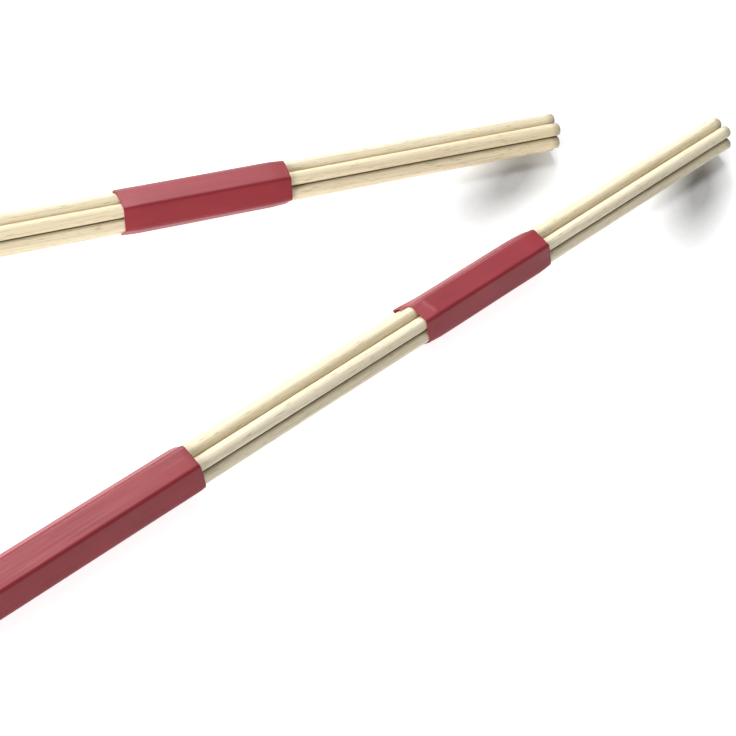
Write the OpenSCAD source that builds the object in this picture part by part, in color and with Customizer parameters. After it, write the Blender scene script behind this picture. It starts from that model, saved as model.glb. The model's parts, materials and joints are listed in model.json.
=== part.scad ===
// A pair of bundled drum rods: seven thin dowels each, a long hexagonal sleeve
// as the grip and a short sleeve, the band, that slides along the free dowels.
// Both rods lie on the floor, closer together at their tips than at their butts.

/* [Dowels] */
// Diameter of one dowel
dowel_d = 4.8; // [4:0.1:6]
// Length of one rod from butt to tip
rod_length = 406; // [380:1:430]
// Gap between neighbouring dowels
dowel_gap = 0.04; // [0.02:0.01:0.1]
// Small bevel round both ends of a dowel
dowel_bevel = 0.45; // [0.2:0.05:0.8]
// How far the seven tips stand out of line with each other
tip_stagger = 0.8; // [0:0.1:1.5]

/* [Sleeves] */
// Thickness of the red sleeve
sleeve_wall = 0.38; // [0.3:0.02:0.6]
// Thickness of the lining under the sleeve
lining_wall = 0.3; // [0.2:0.02:0.5]
// Running gap between the band and the dowels
band_gap = 0.1; // [0.06:0.01:0.14]
// Radius of the six long ridges of a sleeve
ridge_r = 2.2; // [1.5:0.1:2.8]
// Length of the drawn-in collar at each open end of a sleeve
collar_length = 6.5; // [4:0.5:10]

/* [Grip] */
// Length of the grip, from the butt
grip_length = 148; // [120:1:180]
// Length of the glue that holds the dowels together at the butt
glue_length = 14; // [8:1:25]

/* [Band] */
// Length of the band
band_length = 60; // [45:1:70]
// Distance from the tip to the band on the first rod
band_setback_1 = 105; // [60:1:115]
// Distance from the tip to the band on the second rod
band_setback_2 = 109; // [60:1:115]

/* [Arrangement] */
// Angle between the two rods on the floor
spread_angle = 18.6; // [14:0.1:24]
// How far the second tip lies behind the first
tip_behind = 58.5; // [50:0.1:70]
// How far the second tip lies beside the first
tip_beside = 36.7; // [32:0.1:50]

/* [Hidden] */
$fn = 96;
fit_gap = 0.01;          // between pieces of one body that touch
arc_steps = 8;           // short sides in each rounded corner
pitch = dowel_d + dowel_gap;
bundle_flat = pitch * cos(30) + dowel_d / 2;      // axis to the bundle's flat side
lining_bore = bundle_flat + band_gap;
lining_flat = lining_bore + lining_wall;
collar_flat = lining_bore + sleeve_wall;
sleeve_bore = lining_flat + fit_gap;
sleeve_flat = sleeve_bore + sleeve_wall;          // axis to the floor
ridge_reach = (sleeve_flat - ridge_r) / cos(30) + ridge_r;
dowel_setbacks = [0.25, 0.45, 0.75, 1, 0, 0.6, 0.45] * tip_stagger;
turns = [0, -spread_angle];                       // heading of each rod
band_setbacks = [band_setback_1, band_setback_2];

// Extents of the pair before it is centred, with the first tip at the origin
far_x = -tip_behind - rod_length * cos(spread_angle) - ridge_reach * sin(spread_angle);
far_y = tip_beside + rod_length * sin(spread_angle) + ridge_reach * cos(spread_angle);
first_tip = [-far_x / 2, -(far_y - ridge_reach) / 2];
tips = [first_tip, first_tip + [-tip_behind, tip_beside]];

RODS = [0, 1];
DOWELS = [0 : 6];
PIECES = ["butt_glue", "grip_lining", "grip_sleeve", "band_lining", "band_sleeve"];

function piece_name(rod, piece) = str("stick_", rod + 1, "_", piece);
function dowel_name(rod, i) = piece_name(rod, i == 0 ? "dowel_centre" : str("dowel_", i));

// Centre of dowel i across the rod, as distances along its sideways and upward axes
function dowel_place(i) = i == 0 ? [0, 0] : pitch * [sin(60 * i - 30), cos(60 * i - 30)];

// Hexagon with flats at distance `flat` from the axis, lying on a flat, whose
// corners are arcs of radius corner_r drawn with arc_steps short sides each
module round_hexagon(flat, corner_r)
    polygon([
        for (corner = [30 : 60 : 330], step = [0 : arc_steps])
            let (turn = corner - 30 + 60 * step / arc_steps)
            (flat - corner_r) / cos(30) * [sin(corner), cos(corner)]
                + corner_r * [sin(turn), cos(turn)]
    ]);

// Outline of a bore that clears the bundle evenly all round, with its flats at `flat`
module bundle_bore(flat)
    round_hexagon(flat, flat - bundle_flat + dowel_d / 2);

// Turns a flat outline into a bar along +X from `start` to `end`
module along_rod(start, end)
    translate([start, 0, 0]) rotate([90, 0, 90]) linear_extrude(end - start) children();

// Puts a piece drawn with its butt at the origin and its axis on +X onto the floor
module place_rod(rod)
    translate([tips[rod][0], tips[rod][1], sleeve_flat])
        rotate([0, 0, turns[rod]])
            translate([-rod_length, 0, 0]) children();

// A dowel with a small bevel at both ends
module dowel(rod, i) {
    r = dowel_d / 2;
    end = rod_length - dowel_setbacks[i];
    color("wheat") place_rod(rod)
        translate([0, dowel_place(i)[0], dowel_place(i)[1]]) rotate([0, 90, 0])
            rotate_extrude() polygon([
                [0, 0], [r - dowel_bevel, 0], [r, dowel_bevel],
                [r, end - dowel_bevel], [r - dowel_bevel, end], [0, end]
            ]);
}

// Glue in the gaps between the seven dowels at the butt
module butt_glue(rod) {
    clearance = dowel_gap;  // wide enough to leave twelve separate fillets
    color("ivory") place_rod(rod)
        along_rod(dowel_bevel, glue_length) difference() {
            round_hexagon(bundle_flat, dowel_d / 2);
            for (i = DOWELS) translate(dowel_place(i)) circle(r = dowel_d / 2 + clearance);
        }
}

// Thin lining wound round the dowels, between two places along the rod
module lining(rod, start, end, bore)
    color("dimgray") place_rod(rod) difference() {
        along_rod(start, end) round_hexagon(lining_flat, ridge_r);
        along_rod(start - 1, end + 1) bundle_bore(bore);
    }

// Red sleeve with a drawn-in collar at the tip end and, if asked, at the butt end
module sleeve(rod, start, end, butt_collar) {
    wide_start = start + (butt_collar ? collar_length : 0);
    wide_end = end - collar_length;
    color("firebrick") place_rod(rod) difference() {
        union() {
            along_rod(start, end) round_hexagon(collar_flat, ridge_r);
            along_rod(wide_start, wide_end) round_hexagon(sleeve_flat, ridge_r);
        }
        along_rod(start - 1, end + 1) bundle_bore(lining_bore);
        along_rod(wide_start - (butt_collar ? 0 : 1), wide_end)
            round_hexagon(sleeve_bore, ridge_r);
    }
}

module grip_lining(rod)
    lining(rod, 0, grip_length - collar_length - fit_gap, bundle_flat + fit_gap);

module grip_sleeve(rod)
    sleeve(rod, 0, grip_length, false);

module band_lining(rod) {
    end = rod_length - band_setbacks[rod];
    start = end - band_length;
    lining(rod, start + collar_length + fit_gap, end - collar_length - fit_gap, lining_bore);
}

module band_sleeve(rod) {
    end = rod_length - band_setbacks[rod];
    sleeve(rod, end - band_length, end, true);
}

for (rod = RODS) {
    for (i = DOWELS)
        dowel(rod, i);
    butt_glue(rod);
    grip_lining(rod);
    grip_sleeve(rod);
    band_lining(rod);
    band_sleeve(rod);
}
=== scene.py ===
"""The finished look of a pair of bundled drum rods.

Each rod is seven birch dowels, a long red grip sleeve at the butt and a short
red band that slides on the free dowels. The rods lie on a pale floor. Every
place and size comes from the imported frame; this file adds the surfaces, the
materials, the light and the camera.
"""

import json
import math

import bpy
import numpy as np
from bpy.props import FloatProperty, FloatVectorProperty, PointerProperty, StringProperty
from bpy.types import Operator, Panel, PropertyGroup
from mathutils import Matrix, Vector


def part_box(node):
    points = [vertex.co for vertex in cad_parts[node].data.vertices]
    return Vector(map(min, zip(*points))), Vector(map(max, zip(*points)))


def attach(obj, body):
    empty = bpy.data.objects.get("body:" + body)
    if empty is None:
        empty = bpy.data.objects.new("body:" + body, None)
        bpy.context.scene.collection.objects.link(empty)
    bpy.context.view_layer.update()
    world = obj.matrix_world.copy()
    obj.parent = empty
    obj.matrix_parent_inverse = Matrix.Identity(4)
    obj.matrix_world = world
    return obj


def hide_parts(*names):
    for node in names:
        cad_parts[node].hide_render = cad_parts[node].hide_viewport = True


bl_info = {
    "name": "Bundled Drum Rods",
    "version": (1, 0, 0),
    "blender": (4, 5, 0),
    "location": "3D View > Sidebar > Drum Rods",
    "description": "Dresses a pair of bundled dowel drum rods with birch and red sleeves",
    "category": "Object",
}

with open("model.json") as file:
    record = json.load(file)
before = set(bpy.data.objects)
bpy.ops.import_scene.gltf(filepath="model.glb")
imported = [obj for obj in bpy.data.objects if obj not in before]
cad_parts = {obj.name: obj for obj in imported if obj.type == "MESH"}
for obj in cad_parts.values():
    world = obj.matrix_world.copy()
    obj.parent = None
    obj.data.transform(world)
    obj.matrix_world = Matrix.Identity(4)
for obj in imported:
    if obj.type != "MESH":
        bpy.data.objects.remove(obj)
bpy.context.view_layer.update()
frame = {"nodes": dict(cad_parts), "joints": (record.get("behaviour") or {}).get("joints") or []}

MM = 0.001
RODS = (1, 2)
HEX_FLATS = 6
DOWEL_LABELS = ("centre", "1", "2", "3", "4", "5", "6")


# ---------------------------------------------------------------- places

def node_box(node):
    """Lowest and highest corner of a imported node, as two numpy rows."""
    low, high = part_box(node)
    return np.array([low[:], high[:]])


def slide_direction(rod):
    """Unit vector along a rod towards its tip, which is its band's slide axis."""
    for joint in frame["joints"]:
        if joint["name"] == f"stick_{rod}_band_slide":
            axis = np.array(joint["axis"], float)
            return axis / np.linalg.norm(axis)
    raise RuntimeError(f"no slide joint for the band of rod {rod}")


def piece_length(piece):
    """Length of a piece of either rod. The first rod lies along X, so its box says."""
    box = node_box(f"stick_1_{piece}")
    return box[1, 0] - box[0, 0]


def to_row_frame(rod, piece, local):
    """Points measured from a piece's middle (along, across, up) as row-frame points."""
    along = slide_direction(rod)
    across = np.array([-along[1], along[0], 0.0])
    up = np.array([0.0, 0.0, 1.0])
    middle = node_box(f"stick_{rod}_{piece}").mean(axis=0)
    return middle + local @ np.array([along, across, up])


def rod_tip(rod):
    """The tip end of a rod's middle dowel, on its axis."""
    middle = node_box(f"stick_{rod}_dowel_centre").mean(axis=0)
    return middle + slide_direction(rod) * piece_length("dowel_centre") / 2


def neighbour_directions(rod, label):
    """Unit vectors (across, up) from a dowel to each dowel that it touches, one a row."""
    along = slide_direction(rod)
    across = np.array([-along[1], along[0], 0.0])
    up = np.array([0.0, 0.0, 1.0])
    here = node_box(f"stick_{rod}_dowel_{label}").mean(axis=0)
    diameter = np.ptp(node_box(f"stick_1_dowel_{label}")[:, 2])
    found = []
    for other in DOWEL_LABELS:
        offset = node_box(f"stick_{rod}_dowel_{other}").mean(axis=0) - here
        flat_offset = np.array([offset @ across, offset @ up])
        distance = np.linalg.norm(flat_offset)
        if 0.5 * diameter < distance < 1.3 * diameter:
            found.append(flat_offset / distance)
    return np.array(found)


# ---------------------------------------------------------------- meshes

def grid_faces(rows, columns, close_rows):
    """Four-cornered faces of a grid that is closed round its columns."""
    row = np.arange(rows if close_rows else rows - 1)[:, None]
    column = np.arange(columns)[None, :]
    next_row = (row + 1) % rows
    next_column = (column + 1) % columns
    corners = [row * columns + column, row * columns + next_column,
               next_row * columns + next_column, next_row * columns + column]
    return np.stack(np.broadcast_arrays(*corners), axis=-1).reshape(-1, 4)


def make_piece(name, points, faces, attributes, material):
    """One smooth-shaded mesh object from arrays, with its per-point attributes."""
    mesh = bpy.data.meshes.new(name)
    mesh.from_pydata(points, [], faces)
    for label, values in attributes.items():
        kind, field = ("FLOAT_VECTOR", "vector") if values.ndim == 2 else ("FLOAT", "value")
        attribute = mesh.attributes.new(label, kind, "POINT")
        attribute.data.foreach_set(field, values.astype(np.float32).ravel())
    mesh.polygons.foreach_set("use_smooth", np.ones(len(faces), bool))
    mesh.materials.append(material)
    mesh.update()
    piece = bpy.data.objects.new(name, mesh)
    bpy.context.scene.collection.objects.link(piece)
    return piece


def smooth_step(low, high, value):
    """0 below low, 1 above high, and an eased curve between them."""
    t = np.clip((value - low) / (high - low), 0, 1)
    return t * t * (3 - 2 * t)


def soft_waves(seed, *axes):
    """Gentle unevenness from -1 to 1: six sine waves, each with its own pace and phase."""
    dice = np.random.default_rng(seed)
    waves = 6
    total = 0.0
    for _ in range(waves):
        phase = dice.uniform(0, 2 * math.pi)
        paces = dice.uniform(0.5, 2.2, len(axes))
        total = total + np.sin(sum(a * p for a, p in zip(axes, paces)) + phase)
    return total / waves


# ---------------------------------------------------------------- dowels

def dowel_profile(length, radius, bevel):
    """Half outline of a dowel as two arrays: distance along it, and radius.

    From the middle of one end face out to its rim, round a quarter-circle
    bevel, along the side and back over the other end.
    """
    face = np.array([0.35, 0.7, 1.0]) * (radius - bevel)
    quarter = np.linspace(0, math.pi / 2, 6)[1:]
    rim = radius - bevel + bevel * np.sin(quarter)
    rim_in = bevel * (1 - np.cos(quarter))
    half_along = np.concatenate([np.zeros(3), rim_in])
    half_radius = np.concatenate([face, rim])
    side = np.linspace(bevel, length - bevel, 96)[1:-1]
    along = np.concatenate([half_along, side, length - half_along[::-1]])
    radii = np.concatenate([half_radius, np.full(len(side), radius), half_radius[::-1]])
    return along - length / 2, radii


def dowel_caps(rows, columns):
    """Triangles that close both ends of a dowel's grid onto the two pole points after it."""
    butt_pole = rows * columns
    tip_pole = butt_pole + 1
    butt_rim = np.arange(columns)
    tip_rim = butt_rim + (rows - 1) * columns
    butt = np.stack([np.full(columns, butt_pole), np.roll(butt_rim, -1), butt_rim], axis=-1)
    tip = np.stack([np.full(columns, tip_pole), tip_rim, np.roll(tip_rim, -1)], axis=-1)
    return butt.tolist() + tip.tolist()


def place_in_tree(local, seed, turn, from_pith):
    """Where each point of a dowel was in its tree, with the pith along the first axis.

    A dowel is turned about its own axis and moved out from the pith, and its
    stretch of the tree is its own too.
    """
    return np.stack([
        local[:, 0] + 0.9 * seed,
        local[:, 1] * math.cos(turn) - local[:, 2] * math.sin(turn) + from_pith,
        local[:, 1] * math.sin(turn) + local[:, 2] * math.cos(turn),
    ], axis=-1)


def painted_groove_shade(rod, label, local):
    """How much painted shade each point gets, from 0 to 1: the shade in the groove
    where the dowel touches a neighbour.

    It is highest along the lines where the dowel touches its neighbours and 0
    from 33 degrees off them. A groove that faces up or down gets only a small
    share of the painted shade.
    """
    groove_edge = math.cos(math.radians(33))
    groove_floor = math.cos(math.radians(12))
    open_groove_share = 0.12
    outward = local[:, 1:] / np.maximum(np.linalg.norm(local[:, 1:], axis=1, keepdims=True), 1e-9)
    touching = neighbour_directions(rod, label)
    nearness = smooth_step(groove_edge, groove_floor, outward @ touching.T)
    shade_share = open_groove_share + (1 - open_groove_share) * np.abs(touching[:, 1])
    return (nearness * shade_share).max(axis=1)


def dowel_mesh(rod, label, number, settings, material):
    """Surface of revolution of dowel_profile, a little out of round and not quite even.

    The radius is scaled down by up to `unevenness` twice: once with
    cos(2 * angle), once with soft waves 30 mm long. The ends are sanded
    slightly unevenly, so no two tips match.
    """
    piece = f"dowel_{label}"
    length = piece_length(piece)
    radius = np.ptp(node_box(f"stick_1_{piece}")[:, 2]) / 2
    columns = 40
    wave_length = 30 * MM
    sanding = 0.10 * MM  # the most that sanding takes off an end
    hollow = 0.05 * MM  # how far the middle of an end is sunk
    shaded_end_length = 1.3 * MM  # the stretch at each end that is painted grey, as shade

    along, radii = dowel_profile(length, radius, settings.bevel)
    angle = np.linspace(0, 2 * math.pi, columns, endpoint=False)
    seed = 100 * rod + number
    oval = 1 - settings.unevenness * (1 + np.cos(2 * angle[None, :] + seed)) / 2
    ripple = 1 - settings.unevenness * (1 + soft_waves(seed, along[:, None] / wave_length)) / 2
    r = radii[:, None] * oval * ripple
    on_face = 1 - smooth_step(0.75 * radius, 0.98 * radius, radii)[:, None]
    round_about = soft_waves(seed + 7, 2 * np.cos(angle), 2 * np.sin(angle))[None, :]
    sanded_off = np.abs(sanding * round_about * on_face)
    x = along[:, None] - sanded_off * np.sign(along[:, None])
    local = np.stack([x, r * np.cos(angle), r * np.sin(angle)], axis=-1).reshape(-1, 3)
    poles = np.array([[along[0] + hollow, 0, 0], [along[-1] - hollow, 0, 0]])
    local = np.vstack([local, poles])
    faces = grid_faces(len(along), columns, close_rows=False).tolist() + dowel_caps(len(along), columns)

    dice = np.random.default_rng(seed)
    turn = dice.uniform(0, 2 * math.pi)
    from_pith = dice.uniform(45, 90) * MM
    attributes = {
        "timber": place_in_tree(local, seed, turn, from_pith),
        # painted shade on the last stretch at each end
        "end_shade": 1 - smooth_step(0.0, shaded_end_length, length / 2 - np.abs(local[:, 0])),
        "tone": np.full(len(local), dice.uniform(0, 1)),
        # painted shade in the grooves between the dowels
        "groove_shade": painted_groove_shade(rod, label, local),
    }
    points = to_row_frame(rod, piece, local)
    return make_piece(f"rod_{rod}_birch_dowel_{label}", points, faces, attributes, material)


# ---------------------------------------------------------------- sleeves

def hexagon_radius(angle, flat, ridge_r):
    """Distance from the axis to a hexagon with rounded ridges, at each angle.

    Measured from the middle of the nearest flat, the outline is flat / cos
    until it meets the ridge's arc, and then the far crossing with a circle of
    radius ridge_r whose middle lies on the line to the corner.
    """
    corner = math.pi / HEX_FLATS
    off = np.abs((angle + corner) % (2 * corner) - corner)
    middle = (flat - ridge_r) / math.cos(corner)
    meets = np.arctan2((flat - ridge_r) * math.tan(corner), flat)
    back = corner - off
    arc = middle * np.cos(back) + np.sqrt(np.maximum(ridge_r**2 - (middle * np.sin(back)) ** 2, 0))
    return np.where(off < meets, flat / np.cos(off), arc)


def ridge_nearness(angle):
    """1 on a ridge and 0 in the middle of a flat."""
    corner = math.pi / HEX_FLATS
    off = np.abs((angle + corner) % (2 * corner) - corner)
    return (off / corner) ** 4


def angle_between(angle, other):
    """Size of the turn from one angle to the other, at most half a turn."""
    return np.abs((angle - other + math.pi) % (2 * math.pi) - math.pi)


def sleeve_rows():
    """One loop of rows, as columns of two arrays.

    The first is the place along the sleeve, from -1 to 1. The second is the
    depth in the wall, 0 outside and 1 inside. The loop runs outside towards
    the tip, closer together near the ends, round the edge, and inside back.
    """
    outside = np.linspace(-1, 1, 170)
    outside = np.sign(outside) * (1 - (1 - np.abs(outside)) ** 1.25)
    inside = np.linspace(1, -1, 40)
    edge = np.ones(3)
    edge_depth = np.array([0.25, 0.5, 0.75])
    place = np.concatenate([outside, edge, inside, -edge])
    depth = np.concatenate([np.zeros(len(outside)), edge_depth, np.ones(len(inside)), edge_depth[::-1]])
    return place[:, None], depth[:, None]


def flat_distance(along, to_edge, full, settings, both_ends):
    """Distance from the axis to a sleeve's flats, at each place along it.

    It eases from the drawn-in collar at an open end to the full size over the
    lining. A grip's collar is shorter and shallower, and its butt has none.
    """
    collar = settings.collar_length if both_ends else settings.collar_length * 0.35
    step = settings.collar_step if both_ends else settings.collar_step * 0.5
    ease_start = -0.35
    rise = smooth_step(ease_start, 1, np.clip(to_edge / collar, 0, 1))
    if not both_ends:
        rise = np.where(along < 0, 1.0, rise)
    return full - step * (1 - rise) / (1 - smooth_step(ease_start, 1, 0.0))


def creased(angle, from_handle_edge, middle, width):
    """0 to 1 on a crease across a flat: a bell curve along the sleeve, whose top wanders."""
    place = 5.2 * MM  # from the handle edge
    thickness = 1.0 * MM
    wander = 0.5 * MM * np.sin(5 * (angle - middle))
    across = 1 - smooth_step(0.6 * width, width, angle_between(angle, middle))
    return across * np.exp(-(((from_handle_edge - place + wander) / thickness) ** 2))


def sleeve_mesh(name, rod, piece, settings, material, lip=None, crease=None, both_ends=True):
    """A drawn plastic sleeve: outer skin, rounded edge, inner skin, joined into one loop.

    A point's distance from the axis is hexagon_radius for flat_distance, less
    the wall on the inside. The open edges waver. `lip` lengthens and lifts the
    handle edge in a bell curve round one angle (angle, width, length, lift),
    and `crease` raises a fold near that edge (angle, width, height).
    """
    box = node_box(f"stick_1_{piece}")
    length = box[1, 0] - box[0, 0]
    full = (box[1, 2] - box[0, 2]) / 2
    columns = 216
    edge_zone = 9 * MM  # how far in from an open end the edge's shape is felt
    worn_edge = 0.7 * MM  # width of the rubbed rim
    ripple_length = 9 * MM  # the pace of the skin's slow ripple

    angle = np.linspace(0, 2 * math.pi, columns, endpoint=False)[None, :]
    place, depth = sleeve_rows()
    along = place * length / 2
    from_handle_edge = along + length / 2
    to_edge = length / 2 - np.abs(along)
    seed = 10 * rod + (3 if both_ends else 5)
    near_edge = 1 - smooth_step(0, edge_zone, to_edge)
    waver = settings.edge_waver * (1.2 + soft_waves(seed, 2 * np.cos(angle), 2 * np.sin(angle))) / 2
    x = along - np.sign(place) * near_edge * waver

    flat = flat_distance(along, to_edge, full, settings, both_ends)
    uneven = soft_waves(seed + 1, along / ripple_length, 2 * np.cos(angle) + 0 * along, 2 * np.sin(angle))
    flat = flat - settings.unevenness * (1 + uneven) / 2
    r = hexagon_radius(angle, flat, settings.ridge_radius) - settings.wall * depth
    fold = np.zeros_like(r)
    if crease:
        crease_angle, crease_width, height = crease
        fold = creased(angle, from_handle_edge, crease_angle, crease_width)
        r = r + height * fold * (depth == 0)
    if lip:
        lip_angle, lip_width, lip_length, lip_lift = lip
        away = angle_between(angle, lip_angle)
        tongue = np.exp(-((away / lip_width) ** 2)) * (1 - smooth_step(0, edge_zone, from_handle_edge))
        x = x - lip_length * tongue
        r = r + lip_lift * tongue**1.5

    local = np.stack([x + 0 * r, r * np.sin(angle), r * np.cos(angle)], axis=-1).reshape(-1, 3)
    faces = grid_faces(len(place), columns, close_rows=True)[:, ::-1]
    attributes = {
        # each sleeve has its own stretch of the patterns
        "sleeve_place": local + np.array([0.3 * seed, 0, 0]),
        # where the ridges get their painted shade
        "ridge": (ridge_nearness(angle) + 0 * r).ravel(),
        "edge_wear": (np.exp(-to_edge / worn_edge) + 0 * r).ravel(),
        # where the crease gets its painted highlight
        "crease": (fold * (depth == 0)).ravel(),
    }
    points = to_row_frame(rod, piece, local)
    return make_piece(name, points, faces.tolist(), attributes, material)


# ---------------------------------------------------------------- materials

def linear(hex_colour):
    """An sRGB hex colour as linear red, green, blue and alpha."""
    srgb = [int(hex_colour[i:i + 2], 16) / 255 for i in (1, 3, 5)]
    return tuple(c / 12.92 if c <= 0.04045 else ((c + 0.055) / 1.055) ** 2.4 for c in srgb) + (1.0,)


def add_node(owner, kind, values=None, links=None, **settings):
    """One node of a material or world: its settings, its sockets' values and its incoming links."""
    node = owner.node_tree.nodes.new(kind)
    for key, value in settings.items():
        setattr(node, key, value)
    for socket, value in (values or {}).items():
        node.inputs[socket].default_value = value
    for socket, source in (links or {}).items():
        owner.node_tree.links.new(source, node.inputs[socket])
    return node


def new_material(name):
    """An empty node material and its Principled shader, already joined to the output."""
    material = bpy.data.materials.new(name)
    material.use_nodes = True
    material.node_tree.nodes.clear()
    shader = add_node(material, "ShaderNodeBsdfPrincipled")
    add_node(material, "ShaderNodeOutputMaterial", links={"Surface": shader.outputs["BSDF"]})
    return material, shader


def join(material, shader, **sources):
    """Links outputs to the shader's sockets, named with underscores for spaces."""
    for socket, source in sources.items():
        material.node_tree.links.new(source, shader.inputs[socket.replace("_", " ")])


def drawn_pattern(material, attribute, width, stretch, detail):
    """Uneven marks about `width` across and `stretch` times as long, lying along the piece."""
    place = add_node(material, "ShaderNodeAttribute", attribute_name=attribute)
    drawn = add_node(material, "ShaderNodeMapping", {"Scale": (1 / stretch, 1, 1)},
                     {"Vector": place.outputs["Vector"]})
    marks = add_node(material, "ShaderNodeTexNoise", {"Scale": 1 / width, "Detail": detail},
                     {"Vector": drawn.outputs["Vector"]})
    return marks.outputs["Fac"]


def lay_over(material, base, layers):
    """A base colour (hex, or another node's output) with layers of colour laid over it in turn.

    Each layer is (source, low, high, strength, hex colour). It grows from
    nothing to its full strength as its source goes from low to high. A Mix
    node's colours are its sockets 6 and 7, and its mixed colour is output 2.
    """
    for source, low, high, strength, colour in layers:
        cover = add_node(material, "ShaderNodeMapRange",
                         {"From Min": low, "From Max": high, "To Max": strength}, {"Value": source})
        values, links = {7: linear(colour)}, {"Factor": cover.outputs["Result"]}
        if isinstance(base, str):
            values[6] = linear(base)
        else:
            links[6] = base
        base = add_node(material, "ShaderNodeMix", values, links, data_type="RGBA").outputs[2]
    return base


def growth_rings(material, settings):
    """A wave from -1 to 1 that repeats with each ring: its phase is the distance from the pith."""
    wandering = 9.0  # radians that the rings wander by, at most
    timber = add_node(material, "ShaderNodeAttribute", attribute_name="timber")
    place = add_node(material, "ShaderNodeSeparateXYZ", links={"Vector": timber.outputs["Vector"]})
    yy = add_node(material, "ShaderNodeMath", links={0: place.outputs["Y"], 1: place.outputs["Y"]},
                  operation="MULTIPLY")
    yy_zz = add_node(material, "ShaderNodeMath",
                     links={0: place.outputs["Z"], 1: place.outputs["Z"], 2: yy.outputs[0]},
                     operation="MULTIPLY_ADD")
    from_pith = add_node(material, "ShaderNodeMath", links={0: yy_zz.outputs[0]}, operation="SQRT")
    even_phase = add_node(material, "ShaderNodeMath", {1: 2 * math.pi / settings.ring_width},
                          {0: from_pith.outputs[0]}, operation="MULTIPLY")
    wander = drawn_pattern(material, "timber", 9 * MM, 8, 1.0)
    phase = add_node(material, "ShaderNodeMath", {1: wandering},
                     {0: wander, 2: even_phase.outputs[0]}, operation="MULTIPLY_ADD")
    return add_node(material, "ShaderNodeMath", links={0: phase.outputs[0]}, operation="SINE").outputs[0]


def birch_material(settings):
    """Bare birch, turned and sanded: creamy, with fine straight fibre and short dark flecks."""
    material, shader = new_material("bare_sanded_birch")
    # fibre: 0.35 mm wide and 25 mm long, drawn coarser than real wood so that it shows
    fibre = drawn_pattern(material, "timber", 0.35 * MM, 70, 3.0)
    # streaks: the wider bands that run along a dowel, 1.6 mm wide and 72 mm long
    streak = drawn_pattern(material, "timber", 1.6 * MM, 45, 2.0)
    # flecks: pores and rays seen as dashes 0.4 mm wide and 4.6 mm long
    fleck = drawn_pattern(material, "timber", 0.42 * MM, 11, 1.0)
    tone, end_shade_and_edge_wear, groove_shade = (
        add_node(material, "ShaderNodeAttribute", attribute_name=name).outputs["Fac"]
        for name in ("tone", "end_shade", "groove_shade")
    )
    base = lay_over(material, settings.light_wood, (
        (tone, 0.0, 1.0, 1.0, settings.warm_wood),
        (growth_rings(material, settings), 0.1, 1.0, 0.30, settings.late_wood),
        (streak, 0.45, 0.75, 0.55, settings.late_wood),
        (fibre, 0.35, 0.75, 0.42, settings.fleck),
        (fleck, 0.61, 0.74, 0.62, settings.fleck),
        # painted shade: grey on the dowels' ends and their rounded rims
        (end_shade_and_edge_wear, 0.2, 1.0, 0.8, settings.end_shade_wood),
        # painted shade darkens the groove where two dowels touch
        (groove_shade, 0.0, 1.0, 0.85, settings.groove_shade_wood),
    ))
    rough = add_node(material, "ShaderNodeMapRange",
                     {"From Min": 0.3, "From Max": 0.8, "To Min": 0.5, "To Max": 0.66}, {"Value": fibre})
    bump = add_node(material, "ShaderNodeBump", {"Strength": 0.25, "Distance": 0.05 * MM},
                    {"Height": fibre})
    join(material, shader, Base_Color=base, Roughness=rough.outputs["Result"],
         Normal=bump.outputs["Normal"])
    shader.inputs["IOR"].default_value = 1.45
    return material


def red_pvc_material(settings):
    """Soft PVC tube shrunk on hot: strong red, semi-gloss, faintly pebbled and drawn lengthwise."""
    material, shader = new_material("shrunk_red_pvc")
    # cloud: how evenly the pigment and the heat took, patches 9 mm wide and 22 mm long
    cloud = drawn_pattern(material, "sleeve_place", 9 * MM, 2.5, 3.0)
    # draw lines: 0.8 mm wide marks along the tube from how it was extruded
    draw = drawn_pattern(material, "sleeve_place", 0.8 * MM, 30, 2.0)
    # pebble: the 0.5 mm orange-peel of soft plastic
    pebble = drawn_pattern(material, "sleeve_place", 0.5 * MM, 1, 2.0)
    ridge, crease, end_shade_and_edge_wear = (
        add_node(material, "ShaderNodeAttribute", attribute_name=name).outputs["Fac"]
        for name in ("ridge", "crease", "edge_wear")
    )
    base = lay_over(material, settings.red, (
        (cloud, 0.35, 0.7, 1.0, settings.deep_red),
        # painted shade: the ridges are darkened where the light falls off round them
        (ridge, 0.45, 1.0, 0.75, settings.ridge_shade_red),
        # painted highlight: the crease is painted paler where it catches the light
        (crease, 0.1, 1.0, 0.35, settings.crease_highlight_red),
        # the worn edges take the same dark red as the ridge shade
        (end_shade_and_edge_wear, 0.3, 1.0, 0.5, settings.ridge_shade_red),
    ))
    rough = add_node(material, "ShaderNodeMapRange",
                     {"From Min": 0.3, "From Max": 0.7, "To Min": settings.roughness - 0.05,
                      "To Max": settings.roughness + 0.07}, {"Value": draw})
    height = add_node(material, "ShaderNodeMath", {1: 0.6}, {0: draw, 2: pebble},
                      operation="MULTIPLY_ADD")
    bump = add_node(material, "ShaderNodeBump", {"Strength": 0.12, "Distance": 0.03 * MM},
                    {"Height": height.outputs[0]})
    join(material, shader, Base_Color=base, Roughness=rough.outputs["Result"],
         Normal=bump.outputs["Normal"])
    shader.inputs["IOR"].default_value = 1.47
    return material


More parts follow.
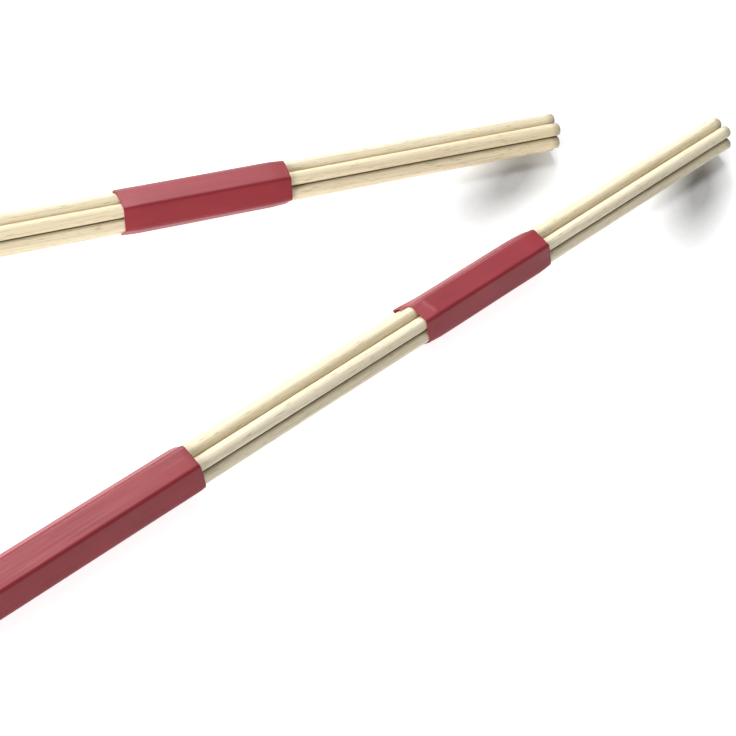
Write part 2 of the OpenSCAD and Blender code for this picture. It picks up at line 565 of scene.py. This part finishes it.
def cloth_tape_material():
    """Matt cloth tape wound under the sleeves: a plain weave with dark threads."""
    material, shader = new_material("wound_cloth_tape")
    place = add_node(material, "ShaderNodeTexCoord").outputs["Object"]
    # threads 0.4 mm apart, coarser than real tape so that they show: a wave texture has about
    # three bands to each unit of its coordinates, and a unit is made three threads wide
    three_threads = 1.2 * MM
    warp, weft = (
        add_node(material, "ShaderNodeTexWave", {"Scale": 1 / three_threads, "Distortion": 0.4},
                 {"Vector": place}, wave_type="BANDS", bands_direction=direction)
        for direction in ("X", "DIAGONAL")
    )
    weave = add_node(material, "ShaderNodeMath", links={0: warp.outputs["Fac"], 1: weft.outputs["Fac"]},
                     operation="MULTIPLY").outputs[0]
    base = lay_over(material, "#1D1816", ((weave, 0.0, 1.0, 1.0, "#4A4038"),))
    bump = add_node(material, "ShaderNodeBump", {"Strength": 0.5, "Distance": 0.05 * MM},
                    {"Height": weave})
    join(material, shader, Base_Color=base, Normal=bump.outputs["Normal"])
    shader.inputs["Roughness"].default_value = 0.85
    return material


def wood_glue_material():
    """Dried wood glue: yellowish, glossy in places and lumpy."""
    material, shader = new_material("dried_wood_glue")
    place = add_node(material, "ShaderNodeTexCoord").outputs["Object"]
    # lumps 1.2 mm across, as the glue dried between the dowels
    lumps = add_node(material, "ShaderNodeTexNoise", {"Scale": 1 / (1.2 * MM), "Detail": 3.0},
                     {"Vector": place}).outputs["Fac"]
    base = lay_over(material, "#B99A5E", ((lumps, 0.0, 1.0, 1.0, "#E3CE9C"),))
    rough = add_node(material, "ShaderNodeMapRange",
                     {"From Min": 0.3, "From Max": 0.7, "To Min": 0.3, "To Max": 0.5}, {"Value": lumps})
    bump = add_node(material, "ShaderNodeBump", {"Strength": 0.6, "Distance": 0.2 * MM},
                    {"Height": lumps})
    join(material, shader, Base_Color=base, Roughness=rough.outputs["Result"],
         Normal=bump.outputs["Normal"])
    shader.inputs["IOR"].default_value = 1.48
    return material


def floor_material(settings):
    """Pale, matt opal acrylic with a very faint tooth, which glows with painted light.

    The painted glow hides the shadows, except in a soft patch at each rod's tip,
    where it fades out. A patch is an ellipse that heads from the tip back
    towards the handle, turned by patch_turn away from the key light.
    """
    material, shader = new_material("opal_acrylic")
    place = add_node(material, "ShaderNodeTexCoord").outputs["Object"]
    # tooth: a cast sheet's unevenness, 3 mm across
    tooth = add_node(material, "ShaderNodeTexNoise", {"Scale": 1 / (3 * MM)}, {"Vector": place})
    base = lay_over(material, settings.floor, ((tooth.outputs["Fac"], 0.0, 1.0, 1.0, "#C2C2C2"),))
    tip_to_middle = 0.22 * settings.patch_length
    reach = []
    for rod in RODS:
        back = -slide_direction(rod)
        heading = math.atan2(back[1], back[0]) + settings.patch_turn
        patch_axis = np.array([math.cos(heading), math.sin(heading), 0])
        middle = rod_tip(rod) + tip_to_middle * patch_axis
        size = (settings.patch_length / 2, settings.patch_width / 2, 1.0)
        patch = add_node(material, "ShaderNodeMapping",
                         {"Location": (middle[0], middle[1], 0.0), "Rotation": (0.0, 0.0, heading),
                          "Scale": size}, {"Vector": place}, vector_type="TEXTURE")
        reach.append(add_node(material, "ShaderNodeVectorMath", links={0: patch.outputs["Vector"]},
                              operation="LENGTH").outputs["Value"])
    nearest = add_node(material, "ShaderNodeMath", links={0: reach[0], 1: reach[1]},
                       operation="MINIMUM")
    # no painted glow in the middle of a patch, and all of it from the patch's edge outwards
    painted_glow = add_node(material, "ShaderNodeMapRange", {"From Min": 0.16, "To Max": settings.painted_glow},
                    {"Value": nearest.outputs[0]})
    join(material, shader, Base_Color=base, Emission_Strength=painted_glow.outputs["Result"])
    shader.inputs["Emission Color"].default_value = linear("#FFFFFF")
    shader.inputs["Roughness"].default_value = 0.9
    shader.inputs["Specular IOR Level"].default_value = 0.1
    return material


def studio_world(settings):
    """White walls round a darker ceiling: even below 3 degrees, and again above 12 degrees."""
    world = bpy.data.worlds.new("studio")
    world.use_nodes = True
    direction = add_node(world, "ShaderNodeTexCoord").outputs["Generated"]
    height = add_node(world, "ShaderNodeSeparateXYZ", links={"Vector": direction}).outputs["Z"]
    strength = add_node(world, "ShaderNodeMapRange",
                        {"From Min": 0.05, "From Max": 0.20, "To Min": settings.horizon,
                         "To Max": settings.sky}, {"Value": height})
    background = world.node_tree.nodes["Background"]
    background.inputs["Color"].default_value = linear("#FFFFFF")
    world.node_tree.links.new(strength.outputs["Result"], background.inputs["Strength"])
    return world


# ---------------------------------------------------------------- stage

def lay_floor(settings):
    """A flat floor, 8 m wide so that its edges are far away."""
    half = 4.0
    corners = [(-half, -half, 0), (half, -half, 0), (half, half, 0), (-half, half, 0)]
    mesh = bpy.data.meshes.new("floor")
    mesh.from_pydata(corners, [], [(0, 1, 2, 3)])
    mesh.materials.append(floor_material(settings))
    floor = bpy.data.objects.new("floor", mesh)
    bpy.context.scene.collection.objects.link(floor)


def hang_lights(settings):
    """Three soft round lamps that face the rods.

    The key light is beyond the rods, so their shadows fall on the camera's side.
    """
    lit_spot = Vector((0.05, -0.04, 0.0))
    # name: power, direction from the rods, distance and width in metres
    lights = {
        "key": (settings.key, (0.40, 0.76, 0.51), 2.0, 0.85),
        "top": (settings.top, (0.10, 0.35, 0.93), 1.5, 0.60),
        "fill": (settings.fill, (-0.97, 0.10, 0.20), 1.5, 0.60),
    }
    for name, (power, direction, distance, width) in lights.items():
        lamp = bpy.data.lights.new(name, "AREA")
        lamp.energy = power
        lamp.shape = "DISK"
        lamp.size = width
        light = bpy.data.objects.new(name, lamp)
        towards = Vector(direction).normalized()
        light.location = lit_spot + distance * towards
        light.rotation_euler = (-towards).to_track_quat("-Z", "Y").to_euler()
        bpy.context.scene.collection.objects.link(light)


def place_camera(settings):
    """A camera at camera_place that looks at camera_aim, turned about its view by camera_roll."""
    forward = (Vector(settings.camera_aim) - Vector(settings.camera_place)).normalized()
    right = forward.cross(Vector((0, 0, 1))).normalized()
    down = forward.cross(right)
    turn = settings.camera_roll
    right, down = (math.cos(turn) * right + math.sin(turn) * down,
                   math.cos(turn) * down - math.sin(turn) * right)
    lens = bpy.data.cameras.new("camera")
    lens.lens = settings.camera_lens
    lens.clip_start = 0.01
    camera = bpy.data.objects.new("camera", lens)
    turned = Matrix((right, -down, -forward)).transposed().to_4x4()
    camera.matrix_world = Matrix.Translation(settings.camera_place) @ turned
    bpy.context.scene.collection.objects.link(camera)
    bpy.context.scene.camera = camera


# ---------------------------------------------------------------- settings

class DowelSettings(PropertyGroup):
    """Sizes and colours of the birch dowels."""

    bevel: FloatProperty(name="Bevel", description="Rounding of a dowel's ends", default=0.5 * MM,
                         unit="LENGTH", subtype="DISTANCE")
    unevenness: FloatProperty(name="Unevenness", description="Share by which the radius varies",
                              default=0.012, subtype="FACTOR")
    ring_width: FloatProperty(name="Ring width", description="Spacing of the growth rings",
                              default=1.9 * MM, unit="LENGTH", subtype="DISTANCE")
    light_wood: StringProperty(name="Light wood", description="Palest dowels", default="#F9EFD6")
    warm_wood: StringProperty(name="Warm wood", description="Warmest dowels", default="#F3E5C4")
    late_wood: StringProperty(name="Late wood", description="Dark side of each ring", default="#DDD0AF")
    fleck: StringProperty(name="Fleck", description="Fibres and pores", default="#B09C74")
    # painted shade on the dowel ends
    end_shade_wood: StringProperty(name="End wood", description="Rubbed dowel ends", default="#5F574E")
    # painted shade: the dark colour laid in the grooves where two dowels touch
    groove_shade_wood: StringProperty(name="Groove wood", description="Wood where two dowels touch",
                                default="#3A2F1E")


class SleeveSettings(PropertyGroup):
    """Sizes and colours of the red sleeves."""

    wall: FloatProperty(name="Wall", description="Thickness of the plastic", default=0.38 * MM,
                        unit="LENGTH", subtype="DISTANCE")
    ridge_radius: FloatProperty(name="Ridge radius", description="Rounding of the six long ridges",
                                default=1.7 * MM, unit="LENGTH", subtype="DISTANCE")
    collar_length: FloatProperty(name="Collar length", description="Drawn-in stretch at an open end",
                                 default=6.5 * MM, unit="LENGTH", subtype="DISTANCE")
    collar_step: FloatProperty(name="Collar step", description="How far the collar is drawn in",
                               default=0.31 * MM, unit="LENGTH", subtype="DISTANCE")
    edge_waver: FloatProperty(name="Edge waver", description="Unevenness of the cut edges",
                              default=0.35 * MM, unit="LENGTH", subtype="DISTANCE")
    unevenness: FloatProperty(name="Unevenness", description="Slow ripple of the skin",
                              default=0.06 * MM, unit="LENGTH", subtype="DISTANCE")
    lip_length: FloatProperty(name="Lip length", description="Reach of the loose corner of the first band",
                              default=2.1 * MM, unit="LENGTH", subtype="DISTANCE")
    lip_lift: FloatProperty(name="Lip lift", description="Height of the loose corner of the first band",
                            default=0.75 * MM, unit="LENGTH", subtype="DISTANCE")
    roughness: FloatProperty(name="Roughness", description="Blur of the highlights", default=0.46,
                             subtype="FACTOR")
    red: StringProperty(name="Red", description="Main colour", default="#9A2D37")
    deep_red: StringProperty(name="Deep red", description="Darker patches", default="#8E2630")
    # painted shade along the ridges; the worn sleeve edges use the same dark red
    ridge_shade_red: StringProperty(name="Ridge red", description="Stretched ridges", default="#7A1E28")
    # painted highlight on the crease
    crease_highlight_red: StringProperty(name="Stress red", description="Paler creases", default="#B85C64")


class StageSettings(PropertyGroup):
    """Camera, floor and light."""

    camera_place: FloatVectorProperty(name="Camera", description="Where the camera stands",
                                      default=(-0.1882, -0.2281, 0.3743), unit="LENGTH",
                                      subtype="XYZ")
    camera_aim: FloatVectorProperty(name="Aim", description="The floor point in the middle of the view",
                                    default=(0.0384, -0.0839, 0.0), unit="LENGTH", subtype="XYZ")
    camera_roll: FloatProperty(name="Roll", description="Turn of the camera about its view",
                               default=math.radians(-19.44), unit="ROTATION", subtype="ANGLE")
    camera_lens: FloatProperty(name="Lens", description="Focal length in millimetres", default=68.5)
    floor: StringProperty(name="Floor", description="Colour of the floor", default="#B8B8B8")
    # painted light: the floor's own glow, which hides the shadows away from the tips
    painted_glow: FloatProperty(name="Glow", description="Back light of the floor away from the tips",
                        default=0.88)
    patch_turn: FloatProperty(name="Patch turn", description="Turn of a shadow patch from its rod",
                              default=math.radians(31), unit="ROTATION", subtype="ANGLE")
    patch_length: FloatProperty(name="Patch length", description="Length of a shadow patch",
                                default=110 * MM, unit="LENGTH", subtype="DISTANCE")
    patch_width: FloatProperty(name="Patch width", description="Width of a shadow patch",
                               default=40 * MM, unit="LENGTH", subtype="DISTANCE")
    sky: FloatProperty(name="Sky", description="Strength of the even light overhead", default=0.18)
    horizon: FloatProperty(name="Horizon", description="Strength of the even light at eye level",
                           default=1.0)
    key: FloatProperty(name="Key light", description="Power of the main soft light", default=25.0,
                       unit="POWER")
    top: FloatProperty(name="Top light", description="Power of the soft light overhead", default=11.5,
                       unit="POWER")
    fill: FloatProperty(name="Fill light", description="Power of the soft light by the handles",
                        default=30.0, unit="POWER")


# ---------------------------------------------------------------- operators

class RODS_OT_dowels(Operator):
    """Make the fourteen birch dowels"""

    bl_idname = "rods.dowels"
    bl_label = "Birch dowels"

    def execute(self, context):
        settings = context.scene.rod_dowels
        material = birch_material(settings)
        for rod in RODS:
            for number, label in enumerate(DOWEL_LABELS):
                piece = dowel_mesh(rod, label, number, settings, material)
                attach(piece, f"stick_{rod}")
                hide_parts(f"stick_{rod}_dowel_{label}")
        return {"FINISHED"}


class RODS_OT_grips(Operator):
    """Make the two long grip sleeves"""

    bl_idname = "rods.grips"
    bl_label = "Grip sleeves"

    def execute(self, context):
        settings = context.scene.rod_sleeves
        material = red_pvc_material(settings)
        for rod in RODS:
            piece = sleeve_mesh(f"rod_{rod}_grip_skin", rod, "grip_sleeve", settings, material,
                                both_ends=False)
            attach(piece, f"stick_{rod}")
            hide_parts(f"stick_{rod}_grip_sleeve")
        return {"FINISHED"}


class RODS_OT_bands(Operator):
    """Make the two short sliding bands"""

    bl_idname = "rods.bands"
    bl_label = "Sliding bands"

    def execute(self, context):
        settings = context.scene.rod_sleeves
        material = bpy.data.materials.get("shrunk_red_pvc") or red_pvc_material(settings)
        # (angle, width, length, lift): the first band's loose corner is by its far ridge, at
        # the handle end, and the second band has only a slight one
        lips = {
            1: (math.radians(84), math.radians(22), settings.lip_length, settings.lip_lift),
            2: (math.radians(40), math.radians(22), 0.9 * MM, 0.35 * MM),
        }
        # (angle, width, height): one crease across the first band's top flat
        creases = {1: (0.0, math.radians(26), 0.08 * MM), 2: None}
        for rod in RODS:
            piece = sleeve_mesh(f"rod_{rod}_band_skin", rod, "band_sleeve", settings, material,
                                lip=lips[rod], crease=creases[rod])
            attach(piece, f"stick_{rod}_band")
            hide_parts(f"stick_{rod}_band_sleeve")
        return {"FINISHED"}


class RODS_OT_inner_pieces(Operator):
    """Give the linings and the butt glue their materials"""

    bl_idname = "rods.inner_pieces"
    bl_label = "Linings and glue"

    def execute(self, context):
        tape = cloth_tape_material()
        glue = wood_glue_material()
        for name, node in frame["nodes"].items():
            material = tape if "lining" in name else glue if "glue" in name else None
            if material:
                node.data.materials.clear()
                node.data.materials.append(material)
        return {"FINISHED"}


class RODS_OT_stage(Operator):
    """Lay the floor and set the light and the camera"""

    bl_idname = "rods.stage"
    bl_label = "Stage"

    def execute(self, context):
        settings = context.scene.rod_stage
        context.scene.view_settings.view_transform = "Standard"
        context.scene.world = studio_world(settings)
        lay_floor(settings)
        hang_lights(settings)
        place_camera(settings)
        return {"FINISHED"}


class RODS_PT_panel(Panel):
    """Lists the steps that dress the drum rods"""

    bl_idname = "RODS_PT_panel"
    bl_label = "Drum Rods"
    bl_space_type = "VIEW_3D"
    bl_region_type = "UI"
    bl_category = "Drum Rods"

    def draw(self, context):
        for step in STEPS:
            self.layout.operator(step.bl_idname)
        for group in ("rod_dowels", "rod_sleeves", "rod_stage"):
            box = self.layout.box()
            settings = getattr(context.scene, group)
            for name in settings.__annotations__:
                box.prop(settings, name)


STEPS = (RODS_OT_dowels, RODS_OT_grips, RODS_OT_bands, RODS_OT_inner_pieces, RODS_OT_stage)
GROUPS = {"rod_dowels": DowelSettings, "rod_sleeves": SleeveSettings, "rod_stage": StageSettings}


def register():
    for group in (*GROUPS.values(), *STEPS, RODS_PT_panel):
        bpy.utils.register_class(group)
    for name, group in GROUPS.items():
        setattr(bpy.types.Scene, name, PointerProperty(type=group))


def unregister():
    for name in GROUPS:
        delattr(bpy.types.Scene, name)
    for group in (RODS_PT_panel, *reversed(STEPS), *reversed(GROUPS.values())):
        bpy.utils.unregister_class(group)


def main():
    """Runs every step in order."""
    register()
    bpy.ops.rods.dowels()
    bpy.ops.rods.grips()
    bpy.ops.rods.bands()
    bpy.ops.rods.inner_pieces()
    bpy.ops.rods.stage()


if __name__ == "__main__":
    main()
